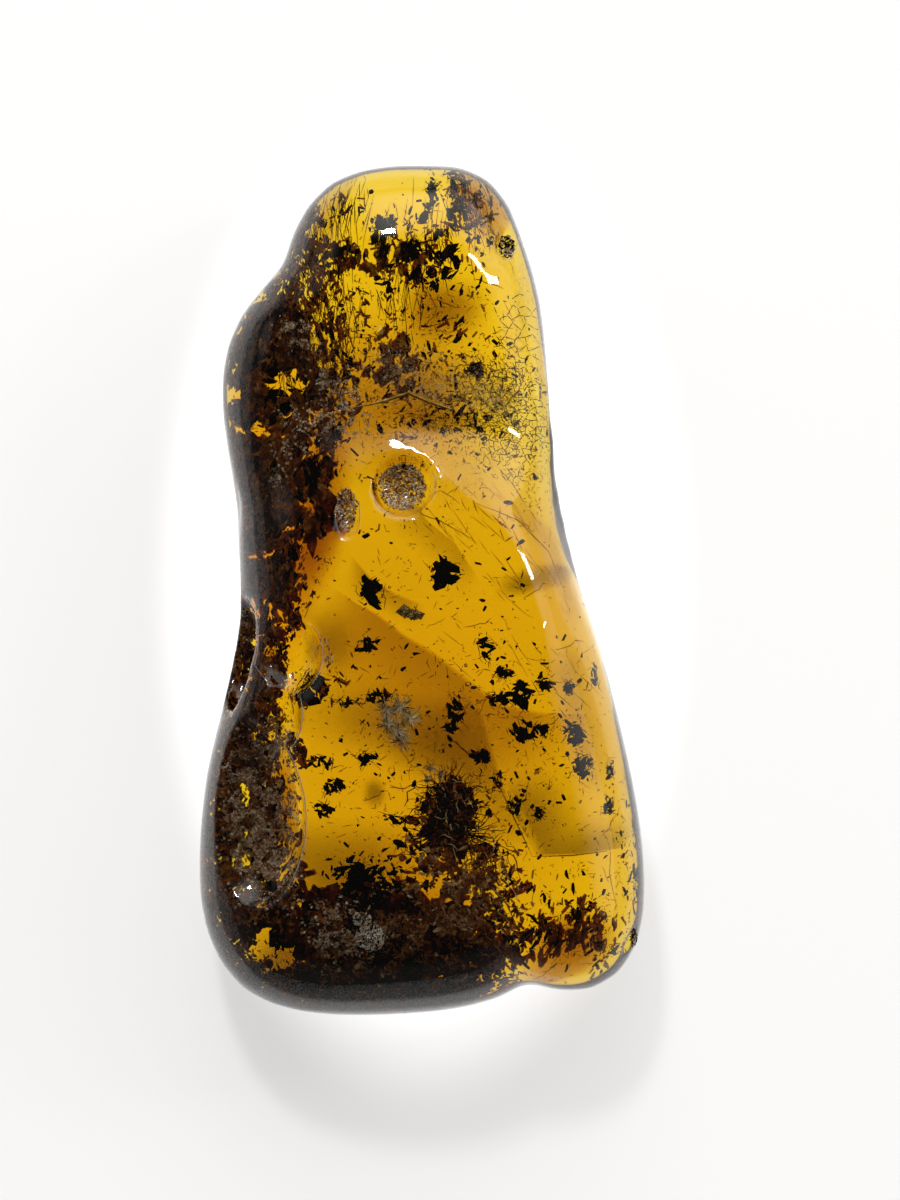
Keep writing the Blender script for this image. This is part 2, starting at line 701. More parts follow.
thirds = np.array_split(rng.permutation(middles), 3)
strew("scrap_shreds", FLAKES, thirds[0], (0.12, 0.6), 0.5, 0.2, (BARK, BARK, RUST), "bark", lean=1.0)
strew("scrap_splinters", SLIVERS, thirds[1], (0.3, 1.3), 0.08, 0.08, (BARK,), "bark", lean=0.5)
strew("scrap_hairs", HAIRS, thirds[2], (0.4, 1.4), 0, 0, (RUST, BARK), "bark", lean=0.6)

# %% [markdown]
# On the dark side the wood dust reaches the rim, so the skin there is backed by flakes all the way
# round. Their places start from the faces of the skin that are steep, and go straight inward.

# %% Flakes packed against the rim of the dark side
RIM_STEEPNESS = 0.8  # the upward part of the skin's normal is less than this at the rim
LEFT_SIDE = (300, 215)  # the dark side lies left of this column, below this row,
FOOT = (515, 945)  # and again left of this column, below this row


def is_dark_rim(face):
    """Whether a face of the skin is on the rim of the dark side and in no window."""
    x, y = face.center.x / MM, face.center.y / MM
    column, row = pixel_of(x, y)
    dark = any(column < side and row > top for side, top in (LEFT_SIDE, FOOT))
    return dark and abs(face.normal.z) < RIM_STEEPNESS and not in_window(x, y)


def rim_places(count, nearest, farthest):
    """Places inside the rim of the dark side, from nearest to farthest from the skin in millimetres."""
    found = []
    for face in nugget.data.polygons:
        if is_dark_rim(face):
            found.append((face.center - face.normal * rng.uniform(nearest, farthest) * MM) / MM)
    return np.array(found)[rng.permutation(len(found))[:count]]


strew("rim_flakes", FLAKES, rim_places(2400, 0.4, 1.4), (0.4, 1.8), 0.6, 0.2, (WOOD, PEAT, RUST, PEAT),
      "wood_debris")

# %% [markdown]
# The dark zones have soft edges, so flakes are strewn between two edges read off the photograph. Deep
# ones make the zone dark, and smaller ones close under the face give it its colour and its grain.

# %% Strew the dark zones
# Edges of the dark zones in pixels: (row, column) down the left side, (column, row) along the bottom
LEFT_EDGE = [(163, 380), (187, 320), (220, 297), (260, 282), (300, 249), (340, 228), (400, 221), (480, 232),
             (560, 238), (620, 238), (700, 225), (780, 205), (860, 198), (940, 210), (1000, 260)]
DARK_EDGE = [(200, 310), (240, 325), (270, 345), (300, 340), (340, 348), (380, 348), (420, 345), (450, 345),
             (480, 335), (520, 322), (560, 322), (590, 320), (620, 300), (650, 275), (690, 285), (740, 285),
             (800, 292), (860, 298), (900, 295)]
BED_TOP = [(215, 905), (290, 905), (320, 900), (345, 890), (380, 870), (400, 840), (430, 800), (450, 780),
           (470, 800), (500, 850), (520, 890)]
BED_BOTTOM = [(215, 950), (250, 990), (290, 1010), (380, 1014), (500, 1000), (520, 990)]


def between(count, first, last, near, far, soften=6.0):
    """Random pairs: one value between first and last, the other between two edges that it picks."""
    along = rng.uniform(first, last, count)
    low = np.interp(along, *np.array(near).T)
    high = np.interp(along, *np.array(far).T)
    return along, low + rng.uniform(0, 1, count) * (high - low) + rng.normal(0, soften, count)


def out_of_windows(columns, rows):
    """The spots, in millimetres, that lie in no clear window."""
    spots = [spot(*pair) for pair in zip(columns, rows)]
    return [place for place in spots if not in_window(*place)]


def left_zone(count):
    """Random spots down the dark left side."""
    rows, columns = between(count, 185, 905, LEFT_EDGE, DARK_EDGE)
    return out_of_windows(columns, rows)


def bed_zone(count):
    """Random spots over the bed."""
    return out_of_windows(*between(count, 215, 520, BED_TOP, BED_BOTTOM))


strew("wood_flakes_left", FLAKES, sink(clumped(left_zone(3400), 1.6, -0.08), 0.1, 0.96), (0.25, 1.6),
      0.35, 0.25, (WOOD, RUST, WOOD, BARK), "wood_debris", heading=88, sway=0.5, lean=1.2)
strew("front_flakes_left", FLAKES, lay_under(clumped(left_zone(6500), 1.1, -0.12), 0.25, 1.2, 0.2),
      (0.12, 0.9), 0.3, 0.25, (WOOD, RUST, RUST), "wood_debris", heading=88, sway=0.6, lean=0.8)
strew("front_dark_left", FLAKES, lay_under(clumped(left_zone(2000), 0.8, 0.05), 0.3, 1.2, 0.25), (0.2, 1.0),
      0.35, 0.25, (BARK,), "wood_debris", heading=88, sway=0.6, lean=0.8)
window_bits = [spot(column + w * rng.normal(0, 0.8), row + h * rng.normal(0, 0.8))
               for column, row, w, h in WINDOWS for _ in range(8 + round(0.16 * w * h))]
strew("window_bits", FLAKES, lay_under(window_bits, 0.3, 5.0, 0.25), (0.08, 0.5), 0.35, 0.25,
      (WOOD, RUST, BARK), "wood_debris", heading=88, sway=0.8)

# %% [markdown]
# The bed is strewn in the same way, with brown and black patches where the photograph shows them. The
# bands of the narrow end, and what lies apart from them, are strewn round spots read off it.

# %% Strew the bed and the bands
# [column, row, spread across, spread down, weight], in pixels
BROWN_SPOTS = [(460, 885, 26, 24, 4), (425, 925, 30, 18, 3), (270, 985, 20, 10, 1), (375, 985, 12, 14, 1),
    (340, 950, 24, 12, 1)]
BLACK_SPOTS = [(367, 882, 14, 14, 3), (300, 975, 24, 14, 2), (430, 985, 30, 12, 2), (250, 960, 12, 18, 1),
    (395, 955, 20, 10, 2)]
brown_places = lay_under(clumped(clustered(2600, BROWN_SPOTS), 1.6, -0.1), 0.2, 0.7, 0.2)
strew("brown_patches_base", FLAKES, brown_places, (0.2, 1.3), 0.35, 0.2, (WOOD, RUST, CRUST, WOOD),
      "peat_bed", lean=0.8)
black_places = lay_under(clumped(clustered(1300, BLACK_SPOTS), 1.2, -0.1), 0.2, 0.7, 0.2)
strew("black_patches_base", FLAKES, black_places, (0.3, 1.5), 0.4, 0.2, (BARK,), "peat_bed", lean=0.8)
strew("peat_flakes_base", FLAKES, sink(clumped(bed_zone(1800), 1.6, -0.1), 0.1, 0.96), (0.25, 1.5), 0.5,
      0.25, (PEAT, BARK, RUST), "peat_bed")
strew("front_flakes_base", FLAKES, lay_under(clumped(bed_zone(2800), 1.0, -0.05), 0.3, 2.0, 0.25),
      (0.12, 0.9), 0.4, 0.25, (PEAT, BARK, RUST), "peat_bed")
strew("wood_flakes_base", FLAKES, lay_under(clumped(bed_zone(3600), 2.2, 0.08), 0.25, 0.9, 0.25),
      (0.12, 0.8), 0.4, 0.25, (WOOD, RUST, RUST), "peat_bed")
BANDS = [(432, 268, 20, 13, 3), (388, 264, 12, 15, 2), (385, 480, 30, 26, 2), (350, 300, 12, 30, 2),
    (462, 205, 12, 26, 9), (345, 215, 12, 20, 1), (400, 375, 46, 24, 8), (320, 320, 18, 40, 4),
    (560, 918, 24, 14, 3), (448, 805, 14, 14, 4), (488, 875, 16, 28, 6), (258, 655, 14, 26, 4),
    (275, 715, 12, 16, 2), (505, 920, 14, 28, 3), (326, 684, 16, 8, 3), (470, 300, 10, 40, 1),
    (400, 320, 30, 30, 3), (410, 240, 22, 12, 2), (431, 196, 5, 16, 1), (440, 420, 44, 22, 3),
    (530, 400, 12, 40, 1), (628, 850, 8, 50, 2), (600, 955, 18, 14, 2)]
strew("wood_flakes_bands", FLAKES, sink(clumped(clustered(5200, BANDS), 1.0, -0.03), 0.4, 0.96),
      (0.12, 0.9), 0.25, 0.2, (WOOD, RUST, BARK), "wood_debris", heading=90, sway=0.6)
DARK_SPOTS = [(384, 248, 6, 10, 3), (410, 253, 6, 6, 2), (430, 186, 3, 6, 1), (431, 211, 4, 5, 1),
    (429, 280, 7, 5, 2), (441, 263, 5, 5, 1), (343, 257, 7, 8, 2), (395, 264, 18, 12, 1),
    (436, 266, 14, 12, 1), (345, 225, 10, 14, 1), (462, 215, 11, 30, 6), (395, 300, 24, 14, 2),
    (430, 345, 20, 18, 2), (380, 370, 30, 18, 2), (462, 375, 12, 10, 1), (440, 415, 40, 14, 2),
    (448, 805, 12, 12, 2), (325, 684, 12, 6, 1), (560, 900, 24, 14, 1), (626, 850, 8, 50, 2),
    (600, 955, 16, 12, 1)]
strew("dark_flakes_bands", FLAKES, sink(clumped(clustered(900, DARK_SPOTS), 0.8, -0.02), 0.5, 0.96),
      (0.2, 1.3), 0.4, 0.15, (BARK,), "wood_debris", heading=80, sway=0.9, lean=0.7)

# %% [markdown]
# Between the scraps the amber is never quite clean. Fine rust-brown dust, splinters and a few long
# fibres float all through it, thickest where the flows met.

# %% Dust, splinters and fibres all through the amber
DUST = [(420, 300, 60, 60, 3), (430, 430, 60, 40, 3), (480, 400, 36, 60, 3), (330, 330, 30, 60, 2),
        (430, 560, 60, 40, 1), (520, 690, 50, 50, 3), (390, 700, 50, 50, 2), (560, 780, 40, 50, 2),
        (350, 800, 40, 50, 1), (610, 900, 24, 60, 2.5), (450, 820, 40, 50, 3), (560, 920, 40, 30, 2)]
strew("rust_dust", CRUMBS, sink(clustered(2200, DUST), 0.3, 0.97), (0.08, 0.3), 0.5, 0.4, (RUST,), "bark")
strew("rust_splinters", SLIVERS, sink(clustered(1300, DUST), 0.3, 0.97), (0.2, 0.8), 0.07, 0.07, (RUST,),
      "bark", lean=0.6)
strew("dark_crumbs", FLAKES, sink(clustered(520, DUST), 0.4, 0.97), (0.2, 0.65), 0.6, 0.3, (BARK,), "bark")
strew("fine_fibres", FIBRES, sink(clustered(140, DUST), 0.4, 0.97), (0.8, 2.4), 0, 0, (RUST,), "bark",
      lean=0.4)

# %% [markdown]
# Flowing resin draws what it carries out into threads, and they show which way it ran.

# %% Threads drawn out by the flow
# Straight down the narrow end and its left side, and slanting down to the right along the crest
DOWN = [(335, 320, 12, 36, 4), (320, 250, 14, 30, 3), (395, 290, 20, 26, 2), (290, 340, 12, 30, 2),
    (348, 215, 10, 22, 2), (300, 290, 12, 36, 3), (275, 270, 10, 20, 2), (468, 205, 10, 24, 2),
    (440, 245, 14, 20, 1)]
SLANT = [(505, 560, 30, 50, 3), (560, 660, 24, 60, 2), (470, 520, 30, 14, 1), (520, 360, 16, 30, 1)]
strew("threads_down", SLIVERS, sink(clustered(850, DOWN), 0.5, 0.97), (0.6, 4.0), 0.08, 0.07,
      (WOOD, BARK, RUST), "wood_debris", heading=92, sway=0.32, lean=0.3)
strew("threads_slant", SLIVERS, sink(clustered(110, SLANT), 0.6, 0.97), (0.8, 2.6), 0.06, 0.06, (RUST,),
      "bark", heading=-52, sway=0.25, lean=0.2)

# %% [markdown]
# Old amber crazes just under its skin. The cracks meet in cells like those of dried mud, so the net is
# a honeycomb whose corners a noise pushes about, with many of its edges missing towards its border.
# Blender shifts this noise anew in each run, so the net is never quite the same twice.

# %% The craze net under the skin of the neck
LOWEST_CORNER = 4  # millimetres: a corner lower than this has missed the nugget
# [column, row, half width, half height] in pixels, and the size of a cell in millimetres
CRAZE = [(508, 425, 42, 60, 0.62), (518, 345, 26, 42, 0.9), (474, 380, 22, 26, 0.75)]


def craze(column, row, half_width, half_height, cell):
    """Edges of a torn, crooked honeycomb under the face, as pairs of ends in millimetres."""
    middle = Vector((*spot(column, row), 0))
    reach = round(max(half_width, half_height) * PIXEL / cell) + 1
    edges = []
    for i in range(-reach, reach + 1):
        for j in range(-reach, reach + 1):
            centre = middle + Vector((i + 0.5 * (j % 2), j * math.sqrt(0.75), 0)) * cell
            away = centre - middle
            far = (away.x / half_width / PIXEL) ** 2 + (away.y / half_height / PIXEL) ** 2
            corners = []
            for angle in (30, 90, 150, 210):
                turn = math.radians(angle)
                corner = centre + Vector((math.cos(turn), math.sin(turn), 0)) * cell / math.sqrt(3)
                corner += noise.noise_vector(corner * 2.6) * 0.6 * cell
                corners.append((corner.x, corner.y, (face_height(skin, corner.x, corner.y) or 0) - 0.3))
            for start, stop in zip(corners, corners[1:]):
                if rng.uniform(0.15, 1.3) > far and min(start[2], stop[2]) > LOWEST_CORNER:
                    edges.append((start, stop))
    return edges


net = [edge for patch in CRAZE for edge in craze(*patch)]
lay_along("craze_net", SLIVERS, net, 0.1, (BARK,))
CRACKLED = [(520, 420, 16, 38, 4), (500, 380, 16, 16, 2), (535, 480, 10, 26, 2), (480, 435, 28, 12, 2),
    (430, 425, 30, 8, 1)]
strew("craze_strokes", SLIVERS, lay_under(clustered(1100, CRACKLED), 0.2, 0.6, 0.15), (0.15, 0.6), 0.08,
      0.08, (BARK, BARK, RUST), "bark", lean=0.3)

# %% [markdown]
# Grey moss and crusted grains lie right under the polished face, where the light on them is best.

# %% Grey moss and granular crust
TUFT = [(400, 708, 7, 9, 3), (394, 730, 6, 9, 2), (410, 716, 8, 6, 2), (384, 716, 8, 6, 1)]
FUZZ = [(295, 335, 8, 7, 2), (310, 350, 8, 6, 1), (330, 385, 8, 8, 2), (325, 425, 26, 9, 5),
    (350, 405, 14, 8, 3), (290, 450, 12, 6, 1), (280, 480, 6, 6, 1), (372, 930, 8, 6, 1),
    (340, 935, 14, 6, 2), (400, 372, 22, 12, 2), (245, 620, 8, 14, 1), (430, 395, 20, 8, 1),
    (326, 652, 5, 8, 1)]
STREAKED = [(286, 800, 7, 36, 2), (288, 862, 7, 18, 1), (259, 829, 15, 32, 5), (250, 780, 14, 22, 3),
    (265, 860, 12, 12, 4), (278, 745, 10, 14, 2), (240, 820, 10, 36, 2), (340, 935, 18, 8, 1),
    (330, 905, 16, 6, 1)]
strew("moss_crumbs", CRUMBS, lay_under(clustered(190, TUFT), 0.15, 0.8), (0.08, 0.24), 0.7, 0.7,
      (FROTH, MOSS), "grey_moss")
strew("grey_fuzz", HAIRS, lay_under(clustered(400, FUZZ), 0.12, 0.6), (0.3, 0.9), 0, 0, (MOSS, CRUST),
      "grey_moss")
strew("grey_specks", CRUMBS, lay_under(clumped(clustered(5200, FUZZ), 0.7, -0.05), 0.03, 0.3),
      (0.08, 0.34), 0.7, 0.7, (CRUST, WOOD, FROTH, FROTH), "grey_moss", poke=0.04)
strew("crust_grains", CRUMBS, lay_under(clumped(clustered(9000, STREAKED), 0.9, -0.12), 0.03, 0.34),
      (0.1, 0.42), 0.7, 0.7, (FROTH, CRUST, CRUST, WOOD, CRUST), "debris_crust", poke=0.04)

# %% [markdown]
# The milky haze across the neck is froth: bubbles and grains too fine to see one by one. Thousands of
# grains are needed, so each has four faces only.


# %% Haze of fine froth under the neck
def make_grain(bm, draw):
    """A grain with four faces, one unit across."""
    bmesh.ops.create_cone(bm, cap_ends=True, segments=3, radius1=0.5, radius2=0, depth=draw.uniform(0.6, 1.0))


GRAINS = template(make_grain, 3)
HAZE = [(400, 372, 28, 14, 3), (440, 392, 30, 12, 3), (480, 392, 16, 14, 4), (500, 405, 9, 12, 3),
    (404, 440, 30, 10, 2), (521, 300, 7, 44, 3), (470, 470, 26, 22, 3), (536, 400, 6, 50, 2),
    (500, 255, 10, 20, 1)]
strew("neck_haze", GRAINS, lay_under(clustered(13000, HAZE), 0.06, 0.5), (0.05, 0.13), 0.8, 0.7, (FROTH,),
      "grey_moss")

# %% [markdown]
# Where a pit was polished into the debris, its floor is bare grit. The grains are packed evenly over
# flat ovals and stand a little out of the face. The grey crumb over the bed is paved in the same way,
# and so, with dark grains, are two small pits and the upper edge of the dimple.

# %% Grains in the pits
# [column, row, half width, half height] of each pit's floor in pixels
PIT_FLOORS = [(403, 489, 24, 23), (348, 512, 10, 22)]
CRUMB_FLOORS = [(372, 930, 14, 14), (364, 912, 9, 8)]
DARK_FLOORS = [(506, 249, 8, 12), (404, 469, 12, 3), (633, 937, 4, 10)]


def paved(floors):
    """Spots, in millimetres, packed over flat ovals."""
    spots = []
    for column, row, half_width, half_height in floors:
        for _ in range(round(3 * half_width * half_height)):
            angle = rng.uniform(0, 2 * math.pi)
            out = math.sqrt(rng.uniform(0, 1))
            across, down = half_width * out * math.cos(angle), half_height * out * math.sin(angle)
            spots.append(spot(column + across, row + down))
    return spots


strew("pit_grains", CRUMBS, lay_under(paved(PIT_FLOORS), 0.02, 0.14), (0.1, 0.29), 0.8, 0.7,
      (CRUST, RUST, FROTH, CRUST), "debris_crust", poke=0.3)
strew("crumb_grains", CRUMBS, lay_under(paved(CRUMB_FLOORS), 0.02, 0.14), (0.1, 0.3), 0.8, 0.7,
      (FROTH, FROTH, BARK), "grey_moss", poke=0.04)
strew("dark_pit_grains", CRUMBS, lay_under(paved(DARK_FLOORS), 0.02, 0.12), (0.1, 0.3), 0.8, 0.7,
      (BARK, BARK, CRUST), "bark", poke=0.3)

# %% [markdown]
# The dark mound is hairy, and pale rootlets lie over the bed.

# %% Hairs of the mound and pale roots over the bed
MOUND = [(448, 800, 16, 17, 3), (440, 830, 18, 12, 1), (480, 850, 14, 16, 2)]
strew("mound_hairs", HAIRS, lay_under(clustered(520, MOUND), 0.8, 4.0), (0.5, 2.2), 0, 0, (BARK, RUST),
      "peat_bed")
ROOTED = [(490, 885, 16, 26, 4), (450, 800, 12, 14, 2), (500, 930, 10, 20, 2)]
strew("pale_hairs", HAIRS, lay_under(clustered(70, ROOTED), 0.3, 1.0), (0.6, 2.4), 0, 0, (FROTH,),
      "grey_moss", heading=-55, sway=0.7, lean=0.2)

# %% [markdown]
# Some marks in the photograph are single lines: the seam across the neck, pale roots over the bed,
# and the edges where one flow of resin ran over another. Each is a thin four-sided tube drawn
# through its points, at a depth below the face.

# %% Single threads and seams
SEAM = debris_material("resin_seam", "#6a4a20", "#a8823f", "#dcc084")
ROOT = debris_material("pale_rootlet", "#8a7458", "#c9b394", "#efe2cc")
WORN = debris_material("bruised_edge", "#b09a86", "#e0cfc0", "#fff6ee", patch=0.8)


def thread(name, stations, thickness, below, material, slot):
    """A thin tube through pixels of the photograph, at a depth in millimetres below the face."""
    bm = bmesh.new()
    bmesh.ops.create_cone(bm, cap_ends=True, segments=4, radius1=0.5, radius2=0.5, depth=1,
                          matrix=Matrix.Rotation(math.radians(90), 4, "Y"))
    sides = [e for e in bm.edges if abs(e.verts[0].co.x - e.verts[1].co.x) > 0.5]
    steps = 4 * (len(stations) - 1)
    bmesh.ops.subdivide_edges(bm, edges=sides, cuts=steps - 1)
    path = np.array([spot(*station) for station in stations])
    shares = np.linspace(0, 1, len(path))
    for vert in bm.verts:
        share = vert.co.x + 0.5
        behind, here, ahead = ([np.interp(share + step, shares, path[:, axis]) for axis in (0, 1)]
                               for step in (-0.05, 0, 0.05))
        x, y = here
        across = Vector((behind[1] - ahead[1], ahead[0] - behind[0], 0)).normalized()
        size = thickness * (0.25 + 0.75 * math.sin(math.pi * min(max(share, 0.02), 0.98)))
        level = face_height(skin, x, y) - below
        vert.co = (Vector((x, y, level)) + size * (across * vert.co.y + Vector((0, 0, vert.co.z)))) * MM
    bmesh.ops.recalc_face_normals(bm, faces=bm.faces)
    dress(piece_from(name, bm), material)


# [name, pixels, thickness and depth in millimetres, material, slot]
THREADS = [
    ("neck_seam", [(355, 410), (373, 407), (391, 402), (409, 396), (430, 405), (451, 412), (467, 396)], 0.26,
     0.0, SEAM, "wood_debris"),
    ("ring_arc", [(305, 793), (298, 796), (294, 803), (294, 810), (298, 816), (304, 819)], 0.12, -0.02, WORN,
     "amber"),
    ("rootlet_1", [(476, 873), (490, 880), (505, 897), (517, 925)], 0.14, 1.0, ROOT, "grey_moss"),
    ("rootlet_2", [(480, 885), (496, 893), (508, 912)], 0.10, 1.0, ROOT, "grey_moss"),
    ("rootlet_3", [(470, 868), (486, 872), (500, 884)], 0.10, 0.8, ROOT, "grey_moss"),
    ("flow_line_1", [(473, 506), (513, 524), (543, 554), (562, 602)], 0.09, 1.4, SEAM, "wood_debris"),
    ("flow_line_2", [(407, 513), (440, 522), (470, 539)], 0.08, 1.4, SEAM, "wood_debris"),
    ("flow_line_3", [(495, 470), (510, 488), (523, 510)], 0.08, 1.0, SEAM, "wood_debris"),
    ("fold_line", [(491, 770), (510, 812), (528, 851)], 0.09, 2.0, RUST, "bark"),
    ("level_line", [(528, 851), (565, 851), (600, 848)], 0.09, 2.0, RUST, "bark"),
    ("fracture_line", [(602, 832), (606, 850), (605, 870), (609, 890), (613, 906)], 0.07, 0.8, RUST, "bark"),
]
for settings in THREADS:
    thread(*settings)
print("threads:", len(THREADS))

# %% [markdown]
# The rims of the scooped pits are bruised by wear and catch the light as a thin pale line. Each is
# found on the nugget itself: along a ray out of the pit, it is the place where the face bends most.

# %% Worn edges of the pits
RAY_STEP = 0.02  # as a share of the pit's own reach
BEND_REACH = 0.3  # millimetres to each side, over which the bend is measured


def pit_edge(pit, first, last, stations=12):
    """Pixels along a pit's edge from one angle in degrees to another."""
    x, y, half_width, half_length, _, turn = PITS[pit]
    found = []
    for angle in np.radians(np.linspace(first, last, stations)):
        out = Vector((half_width * math.cos(angle), half_length * math.sin(angle)))
        out.rotate(Matrix.Rotation(math.radians(turn), 2))
        shares = np.arange(0.6, 1.6, RAY_STEP)
        heights = np.array([face_height(skin, x + share * out.x, y + share * out.y) or 0 for share in shares])
        gap = max(1, round(BEND_REACH / (RAY_STEP * out.length)))
        bends = heights[2 * gap:] + heights[:-2 * gap] - 2 * heights[gap:-gap]
        share = shares[gap + int(np.argmin(bends))]
        found.append(pixel_of(x + share * out.x, y + share * out.y))
    return found


# [pit, first angle, last angle, thickness]: angles turn left from the right-hand side
WORN_EDGES = [(3, -38, 60, 0.10), (4, -38, 60, 0.08), (5, -60, 55, 0.10), (6, -60, 62, 0.10),
    (0, 190, 262, 0.11), (0, -30, 25, 0.09), (2, -80, 70, 0.10), (1, -60, 80, 0.07)]
for number, (pit, first, last, thickness) in enumerate(WORN_EDGES, start=1):
    thread(f"worn_edge_{number}", pit_edge(pit, first, last), thickness, 0.03, WORN, "amber")
print("worn edges:", len(WORN_EDGES))

# %% [markdown]
# Resin ran over the debris in several flows, and each took up its own fine dust, so the yellow is
# darker in some layers than in others. A layer is a closed sheet inside the amber, thick along one
# line and thinning to nothing at another, that only absorbs. A refractive index of 1 in the middle
# of the amber means that its faces don't bend or mirror light at all.

# %% Flow layers
def resin_layer(name, lost_red, lost_green):
    """Resin that takes more light away: what it takes per millimetre is given for red and green."""
    material, output = new_material(name)
    tree = material.node_tree
    surface = add_node(tree, "ShaderNodeBsdfPrincipled", values={
        "Base Color": (1, 1, 1, 1), "Roughness": 0.0, "IOR": 1.0, "Transmission Weight": 1.0})
    volume = add_node(tree, "ShaderNodeVolumeAbsorption", values={
        "Color": (1 - lost_red, 1 - lost_green, 0.5, 1), "Density": 1 / MM})
    tree.links.new(surface.outputs[0], output.inputs["Surface"])
    tree.links.new(volume.outputs[0], output.inputs["Volume"])
    return material


OLIVE = resin_layer("olive_resin", 0.10, 0.11)
TAWNY = resin_layer("tawny_resin", 0.12, 0.165)
BROWN = resin_layer("brown_resin", 0.12, 0.20)
ORANGE = resin_layer("orange_resin", 0.015, 0.10)
SMOKY = resin_layer("smoky_resin", 0.09, 0.105)


def smooth_step(share):
    """From 0 to 1 along an S curve."""
    share = min(max(share, 0.0), 1.0)
    return share * share * (3 - 2 * share)


def drawn_in(x, y, margin=1.0):
    """The place itself, or, outside or near the edge, the nearest place well inside it."""
    point = Vector((x, y, RIM_HEIGHT)) * MM
    nearest, normal, _, _ = skin.find_nearest(point)
    if (point - nearest).dot(normal) > -margin * MM:
        point = nearest - normal * margin * MM
    return point.x / MM, point.y / MM


def flow_layer(name, thick, thin, level, thickness, material, both_soft=False):
    """A closed sheet from a thick edge to a thin one, at a share of the nugget's thickness."""
    bm = bmesh.new()
    bmesh.ops.create_grid(bm, x_segments=36, y_segments=14, size=0.5)
    raised = bmesh.ops.extrude_face_region(bm, geom=bm.faces[:])["geom"]
    tops = {v for v in raised if isinstance(v, bmesh.types.BMVert)}
    edges = [np.array([spot(*station) for station in line]) for line in (thick, thin)]
    for vert in bm.verts:
        along, across = vert.co.x + 0.5, vert.co.y + 0.5
        start, stop = ([np.interp(along, np.linspace(0, 1, len(line)), line[:, axis]) for axis in (0, 1)]
                       for line in edges)
        x, y = drawn_in(*(start[axis] + across * (stop[axis] - start[axis]) for axis in (0, 1)))
        fade = math.sin(math.pi * across) ** 2 if both_soft else 1 - smooth_step(across)
        swell = thickness * fade * smooth_step(min(along, 1 - along) / (0.45 if both_soft else 0.25)) + 0.02
        top, bottom = face_height(skin, x, y), back_height(x, y)
        swell = min(swell, 0.7 * (top - bottom))
        middle = bottom + level * (top - bottom)
        vert.co = Vector((x, y, middle + (swell / 2 if vert in tops else -swell / 2))) * MM
    bmesh.ops.recalc_face_normals(bm, faces=bm.faces)
    if bm.calc_volume(signed=True) < 0:  # a thin sheet can come out inside out
        bmesh.ops.reverse_faces(bm, faces=bm.faces)
    piece = piece_from(name, bm)
    shade_smooth(piece)
    dress(piece, material)


# [name, pixels of the thick edge, pixels of the thin edge, level, thickness in millimetres, material]
LAYERS = [
    ("layer_under_lobe", [(335, 585), (365, 610), (400, 638), (441, 669), (488, 707), (525, 716), (575, 722)],
     [(300, 660), (330, 700), (365, 735), (405, 765), (450, 800), (500, 805), (560, 800)], 0.5, 5.0, TAWNY),
    ("layer_fold_left", [(352, 556), (372, 582), (395, 598), (425, 610)], [(345, 600), (370, 615), (395, 628),
     (430, 645)], 0.6, 5.5, SMOKY),
    ("layer_fold_lobe", [(395, 505), (425, 520), (455, 545), (478, 585)], [(376, 535), (406, 553), (436, 580),
     (458, 615)], 0.6, 4.5, SMOKY),
    ("layer_fold_crest", [(500, 500), (530, 535), (552, 580), (566, 640)], [(478, 512), (505, 548),
     (527, 592), (542, 650)], 0.6, 2.5, TAWNY),
    ("layer_fold_right", [(548, 640), (560, 690), (572, 740), (585, 800)], [(515, 645), (530, 700),
     (542, 745), (558, 800)], 0.55, 5.0, SMOKY),
    ("layer_over_level", [(491, 770), (510, 812), (528, 851), (565, 851), (605, 848)], [(545, 755),
     (560, 780), (575, 805), (590, 815), (618, 820)], 0.45, 9.0, OLIVE),
    ("layer_fold_low", [(455, 690), (475, 715), (491, 770), (510, 812), (528, 851)], [(380, 700), (400, 740),
     (420, 790), (440, 830), (450, 860)], 0.6, 5.0, SMOKY),
    ("layer_base", [(240, 955), (320, 965), (420, 965), (500, 960)], [(250, 880), (330, 860), (400, 800),
     (500, 830)], 0.45, 5.0, BROWN),
]
